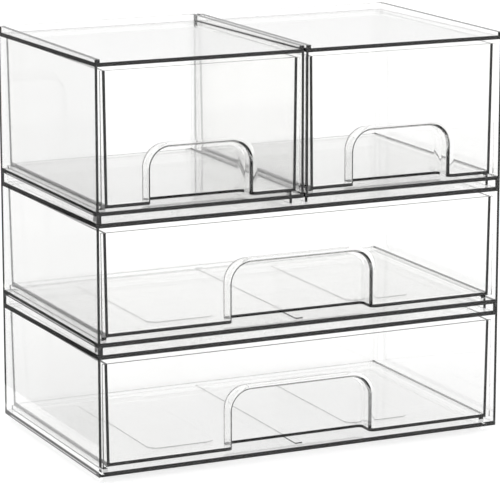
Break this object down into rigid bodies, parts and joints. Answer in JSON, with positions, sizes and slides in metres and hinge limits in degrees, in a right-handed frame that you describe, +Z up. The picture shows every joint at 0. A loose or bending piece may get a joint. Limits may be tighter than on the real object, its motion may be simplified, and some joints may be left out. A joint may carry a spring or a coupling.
{
  "type": "stackable clear drawer organizer",
  "caption": "Clear plastic craft stamp storage: open-fronted cases that stack rim on foot, half-width units above full-width ones, each holding a pull-out tray with an arched finger pull.",
  "frame": {"origin": "centre of the footprint, on the surface that the bottom unit's foot stands on", "axes": "+X to the right as seen from the front, -Y out of the drawer fronts, +Z up"},
  "size_m": [0.325, 0.19, 0.306],
  "materials": {
    "clear_case": "clear gloss",
    "clear_drawer": "clear gloss"
  },
  "bodies": {
    "bottom_case": {"bottom_case": "clear_case"},
    "bottom_drawer": {"bottom_drawer": "clear_drawer"},
    "middle_case": {"middle_case": "clear_case"},
    "middle_drawer": {"middle_drawer": "clear_drawer"},
    "upper_left_case": {"upper_left_case": "clear_case"},
    "upper_left_drawer": {"upper_left_drawer": "clear_drawer"},
    "upper_right_case": {"upper_right_case": "clear_case"},
    "upper_right_drawer": {"upper_right_drawer": "clear_drawer"}
  },
  "joints": [
    {"name": "bottom_drawer_slide", "type": "slide", "parent": "bottom_case", "child": "bottom_drawer", "axis": [0, -1, 0], "range_m": [0, 0.16]},
    {"name": "middle_drawer_slide", "type": "slide", "parent": "middle_case", "child": "middle_drawer", "axis": [0, -1, 0], "range_m": [0, 0.16]},
    {"name": "upper_left_drawer_slide", "type": "slide", "parent": "upper_left_case", "child": "upper_left_drawer", "axis": [0, -1, 0], "range_m": [0, 0.16]},
    {"name": "upper_right_drawer_slide", "type": "slide", "parent": "upper_right_case", "child": "upper_right_drawer", "axis": [0, -1, 0], "range_m": [0, 0.16]},
    {"name": "middle_lift", "type": "slide", "parent": "bottom_case", "child": "middle_case", "axis": [0, 0, 1], "range_m": [0, 0.06]},
    {"name": "upper_left_lift", "type": "slide", "parent": "middle_case", "child": "upper_left_case", "axis": [0, 0, 1], "range_m": [0, 0.06]},
    {"name": "upper_right_lift", "type": "slide", "parent": "middle_case", "child": "upper_right_case", "axis": [0, 0, 1], "range_m": [0, 0.06]}
  ]
}
